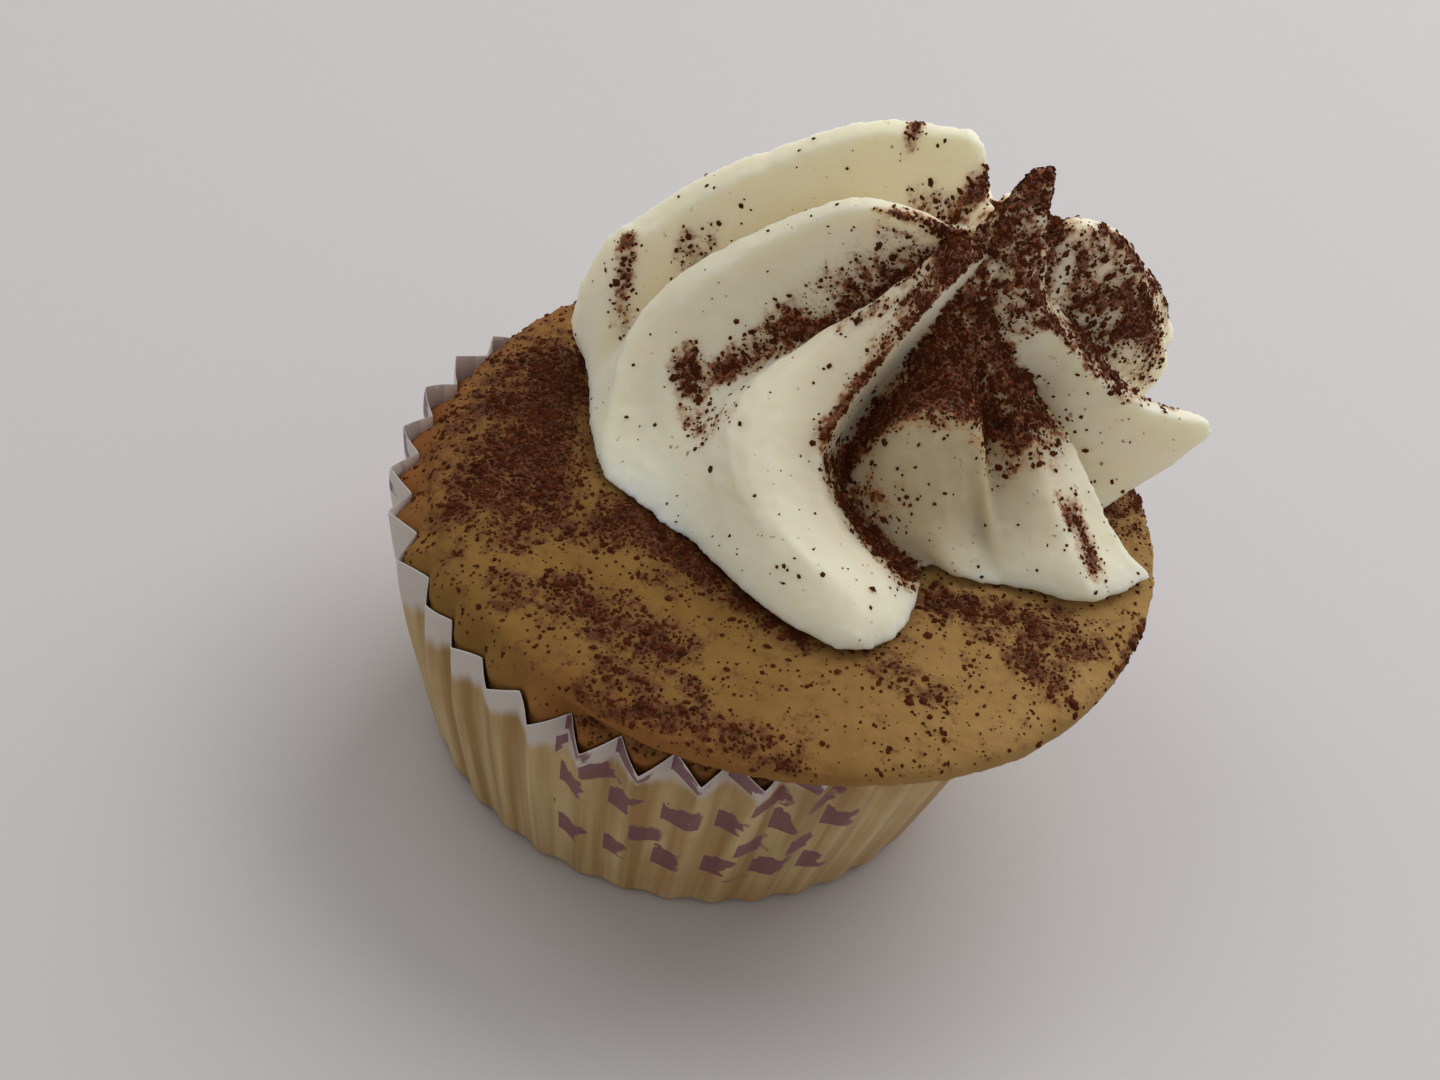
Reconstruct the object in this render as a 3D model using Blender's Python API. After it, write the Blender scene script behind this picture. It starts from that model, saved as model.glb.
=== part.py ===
"""Cupcake in a pleated paper case with one piped swirl of whipped cream.

Metres, +Z up. The origin is the centre of the underside of the paper case, which stands on z = 0.
Three objects: the pleated case, the sponge that fills it and has run out over one side of the rim,
and the cream, which is piped off the middle of the sponge in ten free ridges.
"""

import math

import bmesh
import bpy
from mathutils import noise

MM = 0.001
GAP = 0.3  # clearance between touching pieces, mm

# Paper case, mm
CASE_BASE_RADIUS = 24.7  # middle of the pleats at the floor
CASE_RIM_RADIUS = 31.8  # middle of the pleats at the rim
CASE_HEIGHT = 26.2
CASE_PAPER = 0.4
CASE_PLEATS = 36
CASE_LEVELS = (0.5, 7.0, 14.0, 20.5, CASE_HEIGHT)  # heights of the wall's rings
PLEAT_DEPTH_BASE = 0.35  # half the height of the zigzag
PLEAT_DEPTH_RIM = 1.25
PLEAT_UNEVEN = 0.25  # share by which a pleat's depth strays at the rim
CASE_BELLY = 0.5  # the wall bows outwards by this much half way up
RIM_WAVE = 0.35  # rise and fall of the rim from pleat to pleat

# Sponge, mm
CAKE_SIDES = 64
CAKE_LEVELS = (9.0, 18.0, 26.2)  # heights of the rings inside the case, the last one at the neck
CAKE_FOOT_CHAMFER = 1.2
CAKE_FOLD_CLEARANCE = 1.15  # the sponge stops short of the pleats' inner folds by this share of their depth
CAKE_EDGE_RADIUS = 35.2  # the edge of the risen top
CAKE_EDGE_X = 6.0  # the top has run over the rim on the +X side
CAKE_EDGE_Y = 1.7
CAKE_EDGE_HEIGHT = 28.1
CAKE_EDGE_TILT = 0.5  # extra height of the edge on the +X side
CAKE_EDGE_WAVE = 0.35
CAKE_DOME = 3.6
CAKE_DOME_POWER = 0.4
# The underside of the run-over top: share of the way from neck to edge, height, and share of the sag
CAKE_UNDERSIDE = ((0.03, 26.85, 0.0), (0.35, 26.95, 0.0), (0.62, 27.0, 1.0), (0.92, 27.1, 0.6))
CAKE_SAG = 2.2  # how far the top hangs down outside the rim where it has run furthest
CAKE_SAG_REACH = (36.7, 41.2)  # distance of the edge from the case's axis where the sag starts and is full
CAKE_DOME_SHARES = (1.0, 0.99, 0.955, 0.88, 0.74, 0.55, 0.3)  # rings of the top, as shares of its radius

# Cream, mm
CREAM_FLOOR = 31.0  # rises below are measured from this height
SPINE_FOOT = (12.0, 7.0)  # the swirl leans: its axis at the floor
SPINE_TOP = (19.3, 14.5)  # and at the height of the tips
SPINE_RISE = 29.0  # between the two
CREAM_STEPS = 8  # rows of the control cage from a ridge's tip to its lip
CREAM_TROUGH = 1.8  # how far the ring round the peak lies below the ridges' tips
TROUGH_SHARE = 0.45  # its place between the peak and the tips
CREAM_BASE_SHARES = (0.86, 0.48)  # rings of the underside, as shares of the foot's size
CREAM_FITS = 2  # rounds of pushing the cage out, so that the rounded surface meets its stations

# The peak pulled off the nozzle: x, y, height and radius of its rings from below, and its point
PEAK = ((20.0, 13.7, 58.6, 2.5), (20.5, 14.0, 61.8, 2.0), (21.0, 14.5, 64.6, 1.1))
PEAK_POINT = (22.0, 14.8, 66.0)
PEAK_TURN = 140.0  # of its rings' first point, above the first ridge, degrees

# Each tooth of the nozzle leaves one ridge. They stand counter-clockwise round the leaning axis as seen
# from above, each with the valley after it. A station is a turn in degrees, a reach from the axis and a
# rise above the cream's floor.
# lead: the ridge's clockwise edge at its tip, a third and two thirds of the way down, and at its lip
# foot, toe: turn and reach where the lead edge and the other edge of the crest stand on the sponge
# land: width of the flat crest at the tip, half way and at the lip
# crease: how sharp the crest's edges are, from 0 to 1
# bank: how much higher the crest's other edge lies, at the tip and at the lip
# valley: its floor at the same four heights as lead, then its turn and reach on the sponge
# hollow: how far the near side of the valley is scooped out
# swell: how far its far side bulges, at the tip and at the lip
RIDGES = (
    dict(
        lead=((123, 7.6, 30.8), (150, 17.5, 28.9), (161, 28.6, 19.2), (167, 33.6, 12.0)),
        foot=(163, 33.0), toe=(169, 30.2), land=(1.5, 3.0, 3.0), crease=0.6, hollow=0.8,
        valley=((146, 5.2, 23.5), (153, 13.0, 20.0), (166, 24.5, 10.0), (174, 28.2, 2.6), (177, 28.0)),
    ),
    dict(
        lead=((184, 8.2, 27.2), (172, 15.4, 24.7), (176, 26.8, 11.8), (193, 26.6, 2.8)),
        foot=(203, 26.6), toe=(210, 24.9), land=(1.5, 2.5, 3.5), crease=0.8, hollow=0.9, swell=(0.3, 3.2),
        valley=((190, 4.0, 23.4), (181, 9.4, 13.8), (193, 17.6, 6.0), (221, 21.6, 2.6), (229, 22.3)),
    ),
    dict(
        lead=((222, 5.8, 28.0), (211, 10.5, 17.5), (229, 19.6, 10.3), (272, 24.2, 4.0)),
        foot=(270.5, 26.7), toe=(282, 24.2), land=(3.5, 5.5, 4.4), crease=1.0, swell=(0.5, 1.4),
        valley=((236, 3.4, 21.0), (223, 5.0, 9.8), (239, 8.6, 5.6), (287, 13.2, 1.6), (300, 14.2)),
    ),
    dict(
        lead=((255, 3.8, 25.0), (268, 5.2, 16.4), (276, 11.6, 14.2), (302, 15.6, 3.4)),
        foot=(308, 16.8), toe=(314, 18.6), land=(1.5, 3.5, 4.5), crease=0.0,
        valley=((272, 3.2, 22.5), (324, 6.8, 12.6), (322, 11.6, 7.2), (318, 18.3, 2.1), (321, 20.0)),
    ),
    dict(
        lead=((286, 3.2, 23.0), (331, 9.0, 13.8), (329, 17.6, 7.6), (330, 24.6, 2.8)),
        foot=(333, 25.9), toe=(349, 28.9), land=(1.5, 5.0, 8.0), crease=1.0, bank=(0.0, -2.2),
        valley=((293, 3.4, 23.0), (361, 8.8, 11.5), (363, 14.8, 4.2), (360, 20.0, 1.0), (358, 21.5)),
    ),
    dict(
        lead=((300, 4.0, 27.2), (343, 9.2, 20.3), (355, 16.5, 14.8), (367, 29.6, 9.4)),
        foot=(368, 24.2), toe=(371, 24.0), land=(3.0, 3.5, 1.0), crease=0.8,
        valley=((355, 3.8, 24.5), (372, 11.0, 17.6), (375, 18.4, 12.0), (377, 22.0, 7.0), (377, 23.0)),
    ),
    dict(
        lead=((370, 6.0, 28.0), (381, 12.0, 25.7), (380, 19.4, 18.0), (380, 23.2, 9.5)),
        foot=(384, 24.5), toe=(388, 24.0), land=(1.5, 2.5, 2.0), crease=0.5,
    ),
    dict(
        lead=((400, 5.8, 26.0), (398, 15.0, 21.5), (394, 25.0, 14.5), (394, 28.5, 8.5)),
        foot=(410, 24.5), toe=(415, 24.5), land=(1.5, 3.0, 2.0), crease=0.5,
    ),
    dict(
        lead=((432, 6.0, 25.8), (430, 15.0, 21.5), (438, 22.5, 12.0), (446, 25.0, 3.5)),
        foot=(448, 25.0), toe=(458, 25.0), land=(2.0, 3.5, 4.5), crease=0.7,
    ),
    dict(
        lead=((454, 6.4, 25.0), (464, 16.0, 22.5), (474, 24.0, 13.0), (484, 27.5, 4.0)),
        foot=(486, 27.0), toe=(495, 28.0), land=(2.0, 3.5, 4.5), crease=0.7,
    ),
)

# What a ridge or valley takes when its entry says nothing
VALLEY_DEPTH = (2.5, 5.0, 5.0, 3.0)  # below the middle of the two crests, from the tips to the lip
VALLEY_PULL = (-0.75, -0.65)  # share of that depth taken towards the axis, and downwards
VALLEY_SWELL = (0.4, 0.4)
LEVEL = (0.0, 0.0)
SCOOP = (-0.7, -0.7)  # share of a hollow taken towards the axis, and downwards
SWELL_OUT = 0.6  # share of a swell taken outwards
TRAIL_CREASE = 0.8  # sharpness of a crest's other edge, as a share of the lead edge's
VALLEY_CREASE = 0.3


def wave(turn, seed, count):
    """A slow wobble round the axis, from -1 to 1."""
    return noise.noise((count * math.cos(turn), count * math.sin(turn), seed))


def blend(a, b, t):
    return tuple(p + (q - p) * t for p, q in zip(a, b))


def circle(radius, height, sides):
    ring = []
    for i in range(sides):
        turn = 2 * math.pi * i / sides
        ring.append((radius * math.cos(turn), radius * math.sin(turn), height))
    return ring


def case_radius(height):
    t = height / CASE_HEIGHT
    cone = CASE_BASE_RADIUS + (CASE_RIM_RADIUS - CASE_BASE_RADIUS) * t
    return cone + CASE_BELLY * math.sin(math.pi * t)


def pleat_depth(height):
    t = height / CASE_HEIGHT
    return PLEAT_DEPTH_BASE + (PLEAT_DEPTH_RIM - PLEAT_DEPTH_BASE) * t


def cake_top(x, y):
    """Height of the sponge's domed top above a point, mm."""
    across = (x - CAKE_EDGE_X) / CAKE_EDGE_RADIUS
    along = (y - CAKE_EDGE_Y) / CAKE_EDGE_RADIUS
    edge = CAKE_EDGE_HEIGHT + CAKE_EDGE_TILT * across
    return edge + CAKE_DOME * max(0.0, 1 - across**2 - along**2) ** CAKE_DOME_POWER


def lofted(rings, start, end):
    """A closed mesh through rings of equal length, each end drawn in to a point, and its rows of vertices."""
    mesh = bmesh.new()
    rows = [[mesh.verts.new([c * MM for c in p]) for p in ring] for ring in rings]
    first = mesh.verts.new([c * MM for c in start])
    last = mesh.verts.new([c * MM for c in end])
    count = len(rows[0])
    for i in range(count):
        j = (i + 1) % count
        mesh.faces.new((rows[0][j], rows[0][i], first))
        for low, high in zip(rows, rows[1:]):
            mesh.faces.new((low[i], low[j], high[j], high[i]))
        mesh.faces.new((rows[-1][i], rows[-1][j], last))
    bmesh.ops.recalc_face_normals(mesh, faces=mesh.faces)
    return mesh, rows


def add_object(name, mesh, material):
    data = bpy.data.meshes.new(name)
    mesh.to_mesh(data)
    mesh.free()
    data.materials.append(material)
    obj = bpy.data.objects.new(name, data)
    bpy.context.scene.collection.objects.link(obj)
    return obj


def add_material(name, colour, roughness):
    material = bpy.data.materials.new(name)
    material.use_nodes = True
    surface = material.node_tree.nodes["Principled BSDF"]
    surface.inputs["Base Color"].default_value = (*colour, 1)
    surface.inputs["Roughness"].default_value = roughness
    surface.inputs["Metallic"].default_value = 0
    return material


def case_ring(height, inset):
    """The zigzag of the wall at one height, moved inwards by inset. It waves a little along the rim."""
    ring = []
    for i in range(2 * CASE_PLEATS):
        turn = math.pi * i / CASE_PLEATS
        fold = 1 if i % 2 else -1
        uneven = 1 + PLEAT_UNEVEN * wave(turn, 3.1, 3.0) * height / CASE_HEIGHT
        radius = case_radius(height) + fold * pleat_depth(height) * uneven - inset
        lift = RIM_WAVE * wave(turn, 7.7, 13.0) if height == CASE_HEIGHT else 0
        ring.append((radius * math.cos(turn), radius * math.sin(turn), height + lift))
    return ring


def build_case():
    """The pleated cup: a zigzag wall of one thickness on a flat round floor."""
    outside = [case_ring(height, 0) for height in (0.0, *CASE_LEVELS)]
    floor = [(x, y, CASE_PAPER) for x, y, z in case_ring(0.0, CASE_PAPER)]
    inside = [floor] + [case_ring(height, CASE_PAPER) for height in CASE_LEVELS]
    mesh, rows = lofted(outside + inside[::-1], (0, 0, 0), (0, 0, CASE_PAPER))
    add_object("paper_case", mesh, add_material("baking_paper", (0.62, 0.47, 0.29), 0.55))


def inside_folds(height):
    """Radius of the sponge where the case holds it."""
    return case_radius(height) - CAKE_FOLD_CLEARANCE * pleat_depth(height) - CASE_PAPER - GAP


def build_cake():
    """The sponge: a plain cone inside the folds of the case, then the domed top that has run over the rim."""
    floor = CASE_PAPER + GAP
    rings = [
        circle(inside_folds(0.0) - CAKE_FOOT_CHAMFER, floor, CAKE_SIDES),
        circle(inside_folds(0.0), floor + CAKE_FOOT_CHAMFER, CAKE_SIDES),
    ]
    for height in CAKE_LEVELS:
        rings.append(circle(inside_folds(height), height, CAKE_SIDES))
    neck = rings[-1]
    edge = []
    for i in range(CAKE_SIDES):
        turn = 2 * math.pi * i / CAKE_SIDES
        radius = CAKE_EDGE_RADIUS + CAKE_EDGE_WAVE * wave(turn, 1.3, 1.7)
        edge.append((CAKE_EDGE_X + radius * math.cos(turn), CAKE_EDGE_Y + radius * math.sin(turn)))
    nearest, furthest = CAKE_SAG_REACH
    for share, height, sag_share in CAKE_UNDERSIDE:
        ring = []
        for inner, outer in zip(neck, edge):
            out = min(max((math.hypot(*outer) - nearest) / (furthest - nearest), 0.0), 1.0)
            sag = CAKE_SAG * sag_share * out**2 * (3 - 2 * out)
            ring.append((*blend(inner[:2], outer, share), height - sag))
        rings.append(ring)
    centre = (CAKE_EDGE_X, CAKE_EDGE_Y)
    for share in CAKE_DOME_SHARES:
        places = [blend(centre, point, share) for point in edge]
        rings.append([(x, y, cake_top(x, y)) for x, y in places])
    mesh, rows = lofted(rings, (0, 0, floor), (*centre, cake_top(*centre)))
    for face in mesh.faces:
        face.smooth = True
    add_object("cake", mesh, add_material("sponge", (0.46, 0.27, 0.09), 0.8))


def curve(stations, t):
    """A point of the smooth curve through four stations at even steps, t from 0 to 1."""
    span = min(int(t * 3), 2)
    u = t * 3 - span
    nearest = (stations[max(span - 1, 0)], stations[span], stations[span + 1], stations[min(span + 2, 3)])
    start, leave = 2 * u**3 - 3 * u**2 + 1, u**3 - 2 * u**2 + u
    stop, arrive = 3 * u**2 - 2 * u**3, u**3 - u**2
    point = []
    for before, a, b, after in zip(*nearest):
        point.append(start * a + leave * (b - before) / 2 + stop * b + arrive * (after - a) / 2)
    return point


def stepped(values, t):
    """A value given at even steps from t 0 to 1."""
    span = min(int(t * (len(values) - 1)), len(values) - 2)
    u = t * (len(values) - 1) - span
    return values[span] + (values[span + 1] - values[span]) * u


def axis_at(rise):
    return blend(SPINE_FOOT, SPINE_TOP, rise / SPINE_RISE)


def placed(turn, reach, rise):
    """The place of a station, mm."""
    x, y = axis_at(rise)
    turn = math.radians(turn)
    return (x + reach * math.cos(turn), y + reach * math.sin(turn), CREAM_FLOOR + rise)


def pushed(point, out, up):
    """The point moved away from the leaning axis and upwards, mm."""
    x, y = axis_at(point[2] - CREAM_FLOOR)
    dx = point[0] - x
    dy = point[1] - y
    reach = math.hypot(dx, dy)
    return (point[0] + out * dx / reach, point[1] + out * dy / reach, point[2] + up)


def crest(ridge, t):
    """Both edges of a ridge's flat crest, whose width is measured square to the ridge."""
    lead = placed(*curve(ridge["lead"], t))
    above = placed(*curve(ridge["lead"], max(t - 0.05, 0)))
    below = placed(*curve(ridge["lead"], min(t + 0.05, 1)))
    dx = below[0] - above[0]
    dy = below[1] - above[1]
    wide = stepped(ridge["land"], t) / math.hypot(dx, dy)
    bank = stepped(ridge.get("bank", LEVEL), t)
    return lead, (lead[0] - wide * dy, lead[1] + wide * dx, lead[2] + bank)


def cream_row(t):
    """One ring of the control cage. A ridge has five columns: lead, trail, near side, valley, far side."""
    crests = [crest(ridge, t) for ridge in RIDGES]
    row = []
    for ridge, (lead, trail), (after, _) in zip(RIDGES, crests, crests[1:] + crests[:1]):
        if "valley" in ridge:
            low = placed(*curve(ridge["valley"][:4], t))
        else:
            deep = stepped(VALLEY_DEPTH, t)
            low = pushed(blend(trail, after, 0.5), *(deep * share for share in VALLEY_PULL))
        hollow = ridge.get("hollow", 0.0)
        swell = stepped(ridge.get("swell", VALLEY_SWELL), t)
        near = pushed(blend(trail, low, 0.5), *(hollow * share for share in SCOOP))
        far = pushed(blend(low, after, 0.5), SWELL_OUT * swell, swell)
        row += [lead, trail, near, low, far]
    return row


def cream_foot():
    """The ring on the sponge, with the same five columns to a ridge."""
    first = RIDGES[0]["foot"]
    feet = [ridge["foot"] for ridge in RIDGES] + [(first[0] + 360, first[1])]
    ring = []
    for ridge, foot, after in zip(RIDGES, feet, feet[1:]):
        toe = ridge["toe"]
        middle = blend(toe, after, 0.5)
        low = ridge["valley"][4] if "valley" in ridge else (middle[0], middle[1] - VALLEY_DEPTH[3])
        for turn, reach in (foot, toe, blend(toe, low, 0.5), low, blend(low, after, 0.5)):
            x = SPINE_FOOT[0] + reach * math.cos(math.radians(turn))
            y = SPINE_FOOT[1] + reach * math.sin(math.radians(turn))
            ring.append((x, y, cake_top(x, y) + GAP))
    return ring


def peak_rings(tips):
    """The pulled peak, from its point down to the trough inside the ridges' tips."""
    rings = []
    for x, y, height, radius in reversed(PEAK):
        ring = []
        for i in range(len(tips)):
            turn = math.radians(PEAK_TURN) + 2 * math.pi * i / len(tips)
            ring.append((x + radius * math.cos(turn), y + radius * math.sin(turn), height))
        rings.append(ring)
    trough = []
    for tip, low in zip(tips, rings[-1]):
        x, y, z = blend(low, tip, TROUGH_SHARE)
        trough.append((x, y, min(low[2], z) - CREAM_TROUGH))
    return rings + [trough]


def meet_stations(cream, free, level):
    """Pushes the cage's free points out by what the rounding takes off them, the level ones on the level only."""
    stations = [vertex.co.copy() for vertex in cream.data.vertices]
    for _ in range(CREAM_FITS):
        bpy.context.view_layer.update()
        rounded = cream.evaluated_get(bpy.context.evaluated_depsgraph_get()).to_mesh()
        short = [station - vertex.co for station, vertex in zip(stations, rounded.vertices)]
        for vertex, missing in zip(cream.data.vertices, short):
            if vertex.index in level:
                missing.z = 0
            if vertex.index in free:
                vertex.co += missing


def build_cream():
    """The piped swirl: rings from the pulled peak, over the free tips and down the ridges to the foot."""
    rows = [cream_row(step / (CREAM_STEPS - 1)) for step in range(CREAM_STEPS)]
    foot = cream_foot()
    top = peak_rings(rows[0])
    middle = (sum(p[0] for p in foot) / len(foot), sum(p[1] for p in foot) / len(foot))
    base = []
    for share in CREAM_BASE_SHARES:
        places = [blend(middle, point[:2], share) for point in foot]
        base.append([(x, y, cake_top(x, y) + GAP) for x, y in places])
    under = (*middle, cake_top(*middle) + GAP)
    mesh, columns = lofted(top + rows + [foot] + base, PEAK_POINT, under)

    layer = mesh.edges.layers.float.new("crease_edge")
    creased = columns[len(top) : len(top) + CREAM_STEPS + 1]
    for i, ridge in enumerate(RIDGES):
        lead = ridge["crease"]
        for offset, crease in ((0, lead), (1, TRAIL_CREASE * lead), (3, VALLEY_CREASE)):
            column = [row[5 * i + offset] for row in creased]
            for high, low in zip(column, column[1:]):
                mesh.edges.get((high, low))[layer] = crease
    for face in mesh.faces:
        face.smooth = True
    free = {vertex.index for row in columns[len(top) :] for vertex in row}
    on_sponge = {vertex.index for row in columns[-1 - len(base) :] for vertex in row}
    cream = add_object("cream", mesh, add_material("whipped_cream", (0.80, 0.74, 0.60), 0.55))
    rounding = cream.modifiers.new("rounding", "SUBSURF")
    rounding.levels = 1
    rounding.render_levels = 1
    meet_stations(cream, free, on_sponge)


for old in list(bpy.data.objects):
    bpy.data.objects.remove(old)
build_case()
build_cake()
build_cream()
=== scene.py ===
"""The looks of the cupcake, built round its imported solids: paper case, sponge, whipped cream, cocoa."""

import bpy
import math
import numpy as np
from mathutils import Matrix, Vector, noise


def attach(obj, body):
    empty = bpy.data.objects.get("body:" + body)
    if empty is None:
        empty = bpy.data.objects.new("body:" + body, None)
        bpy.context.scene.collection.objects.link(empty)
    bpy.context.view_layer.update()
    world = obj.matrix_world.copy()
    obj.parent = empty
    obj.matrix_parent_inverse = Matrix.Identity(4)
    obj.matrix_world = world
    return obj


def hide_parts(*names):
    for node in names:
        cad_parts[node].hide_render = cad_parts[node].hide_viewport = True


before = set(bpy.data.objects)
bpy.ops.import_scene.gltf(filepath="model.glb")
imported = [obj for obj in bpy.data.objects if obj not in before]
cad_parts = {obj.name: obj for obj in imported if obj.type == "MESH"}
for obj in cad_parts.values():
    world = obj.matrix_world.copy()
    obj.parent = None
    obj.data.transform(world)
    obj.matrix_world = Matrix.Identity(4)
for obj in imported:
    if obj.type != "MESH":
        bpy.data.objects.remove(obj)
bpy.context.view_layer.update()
MM = 0.001


# ---- Table, light and camera ------------------------------------------------------------------
# A plain pale laminate table top. Soft daylight comes from a window behind and to the right, a lamp
# at the left adds a little, and the room fills the rest. The camera looks down at the cupcake and is tilted to its right.

TABLE_SIZE = 5.0
WINDOW = Vector((0.38, 0.64, 0.68))
WINDOW_SIZE = 0.9
WINDOW_POWER = 6.6
LAMP = Vector((-0.45, 0.25, 0.85))
LAMP_SIZE = 0.5
LAMP_POWER = 1.0
ROOM_STRENGTH = 0.44
CAMERA_AIM = Vector((-0.47, 0.0, 24.44)) * MM
CAMERA_DISTANCE = 420 * MM
CAMERA_ELEVATION = math.radians(42.36)
CAMERA_ROLL = math.radians(12.96)
CAMERA_LENS = 109.475


def linear(colour):
    """A colour of sRGB hex digits as linear red, green, blue and alpha 1."""
    shares = [int(colour[i : i + 2], 16) / 255 for i in (1, 3, 5)]
    return [c / 12.92 if c <= 0.04045 else ((c + 0.055) / 1.055) ** 2.4 for c in shares] + [1.0]


def new_material(name):
    material = bpy.data.materials.new(name)
    material.use_nodes = True
    material.node_tree.nodes.clear()
    return material, material.node_tree


def add(tree, kind, sockets=(), **settings):
    """Adds a node with its settings. Sockets maps an input to its value, or to the output linked to it."""
    node = tree.nodes.new(kind)
    for name, value in settings.items():
        setattr(node, name, value)
    for name, value in dict(sockets).items():
        if isinstance(value, bpy.types.NodeSocket):
            tree.links.new(value, node.inputs[name])
        else:
            node.inputs[name].default_value = value
    return node


bpy.ops.object.select_all(action="DESELECT")
bpy.ops.mesh.primitive_plane_add(size=TABLE_SIZE)
table = bpy.context.object
table.name = "table_top"
laminate, tree = new_material("matt_laminate")
smudge = add(tree, "ShaderNodeTexNoise", {"Scale": 9.0, "Detail": 3.0})
tone = add(tree, "ShaderNodeMix", {0: smudge.outputs["Fac"], 6: linear("#c6c1c0"), 7: linear("#cecbcc")},
           data_type="RGBA")
shader = add(tree, "ShaderNodeBsdfPrincipled", {"Base Color": tone.outputs[2], "Roughness": 0.6, "IOR": 1.5})
add(tree, "ShaderNodeOutputMaterial", {"Surface": shader.outputs[0]})
table.data.materials.append(laminate)

for place, size, power in ((WINDOW, WINDOW_SIZE, WINDOW_POWER), (LAMP, LAMP_SIZE, LAMP_POWER)):
    bpy.ops.object.light_add(type="AREA", location=place)
    light = bpy.context.object
    light.data.size = size
    light.data.energy = power
    light.rotation_euler = (-place).to_track_quat("-Z", "Y").to_euler()

world = bpy.data.worlds.new("room")
world.use_nodes = True
world.node_tree.nodes["Background"].inputs["Color"].default_value = linear("#ffffff")
world.node_tree.nodes["Background"].inputs["Strength"].default_value = ROOM_STRENGTH
bpy.context.scene.world = world
bpy.context.scene.view_settings.view_transform = "Standard"

bpy.ops.object.camera_add()
camera = bpy.context.object
camera.data.lens = CAMERA_LENS
camera.data.clip_start = 0.01
turned = Matrix.Rotation(math.pi / 2 - CAMERA_ELEVATION, 4, "X") @ Matrix.Rotation(CAMERA_ROLL, 4, "Z")
towards_camera = turned.to_3x3() @ Vector((0, 0, CAMERA_DISTANCE))
camera.matrix_world = Matrix.Translation(CAMERA_AIM + towards_camera) @ turned
bpy.context.scene.camera = camera


# ---- Paper case -------------------------------------------------------------------------------
# A disc of printed greaseproof paper pressed in a hot die into a cup with 36 pleats. Butter from the
# sponge has turned the wall golden and see-through. The free rim has stayed pale: it stands up at the
# back and the left, and the sponge has pushed its pleats open and down at the front.

PLEATS = 36
STEPS_TO_PLEAT = 4
PAPER_THICK = 0.12 * MM
CASE_BASE = 24.7 * MM
CASE_RIM = 31.8 * MM
CASE_HEIGHT = 26.2 * MM
CASE_ROWS = 17
CASE_REACH = 33.4 * MM
BELLY = 0.5 * MM
PLEAT_AT_BASE = 0.35 * MM
PLEAT_AT_RIM = 1.3 * MM
PUSHED_OPEN = (math.radians(256), math.radians(62))
STANDING = (math.radians(158), math.radians(62))
SPILLED = (math.radians(222), math.radians(36))  # where the batter ran up to the paper and it stuck
PRINT_MIDDLE = math.radians(278)
PRINT_REPEAT = 66.6 * MM


def near(turn, arc):
    """From 1 in the middle of an arc of the rim down to 0 at its ends."""
    middle, half = arc
    away = abs((turn - middle + math.pi) % math.tau - math.pi) / half
    return 0.5 + 0.5 * math.cos(math.pi * min(away, 1))


def wall_radius(turn, up, sharpest=1.0):
    """Radius of the pleated wall. The outer folds are cut off at sharpest, as a share of their depth."""
    t = up / CASE_HEIGHT
    fold = 1 - 4 * abs((turn / math.tau * PLEATS % 1.0) - 0.5)
    around = Vector((math.cos(turn), math.sin(turn), 0))
    uneven = noise.noise(around * 5.1 + Vector((0, 0, t * 0.9)))
    crumple = noise.noise(around * 9.0 + Vector((5, 0, t * 1.7)))
    opened = near(turn, PUSHED_OPEN) * max(0, t - 0.75) / 0.25
    stuck = near(turn, SPILLED) * max(0, t - 0.6) / 0.4
    depth = (PLEAT_AT_BASE + (PLEAT_AT_RIM - PLEAT_AT_BASE) * t**1.3) * (1 + 0.6 * uneven)
    radius = CASE_BASE + (CASE_RIM - CASE_BASE) * t + BELLY * math.sin(math.pi * t)
    radius += min(fold, sharpest) * depth * (1 + 0.6 * opened) * (1 - 0.6 * stuck)
    radius += (0.3 * crumple * t - 0.9 * stuck) * MM
    return min(radius, CASE_REACH - 0.65 * MM * max(0, -math.cos(turn)))


def pleated(place):
    """Moves a point of the plain cup into its pleats."""
    turn = math.atan2(place.y, place.x)
    t = place.z / CASE_HEIGHT
    fold = 1 - 4 * abs((turn / math.tau * PLEATS % 1.0) - 0.5)
    around = Vector((math.cos(turn), math.sin(turn), 0))
    radius = wall_radius(turn, place.z)
    rim = max(0, t - 0.6) / 0.4
    lift = 0.5 * noise.noise(around * 13.0) + 0.12 * fold
    lift += 1.2 * near(turn, STANDING) - (1.6 + 0.6 * fold) * near(turn, PUSHED_OPEN) - near(turn, SPILLED)
    if lift > 0:
        lift *= near(turn, STANDING)
    return Vector((radius * around.x, radius * around.y, place.z + lift * rim**2 * MM))


bpy.ops.object.select_all(action="DESELECT")
bpy.ops.mesh.primitive_circle_add(vertices=PLEATS * STEPS_TO_PLEAT, radius=CASE_BASE, calc_uvs=False)
paper = bpy.context.object
paper.name = "pleated_paper"
bpy.ops.object.mode_set(mode="EDIT")
bpy.ops.mesh.select_all(action="SELECT")
for row in range(CASE_ROWS):
    bpy.ops.mesh.extrude_region_move(TRANSFORM_OT_translate={"value": (0, 0, CASE_HEIGHT / CASE_ROWS)})
bpy.ops.object.mode_set(mode="OBJECT")

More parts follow.
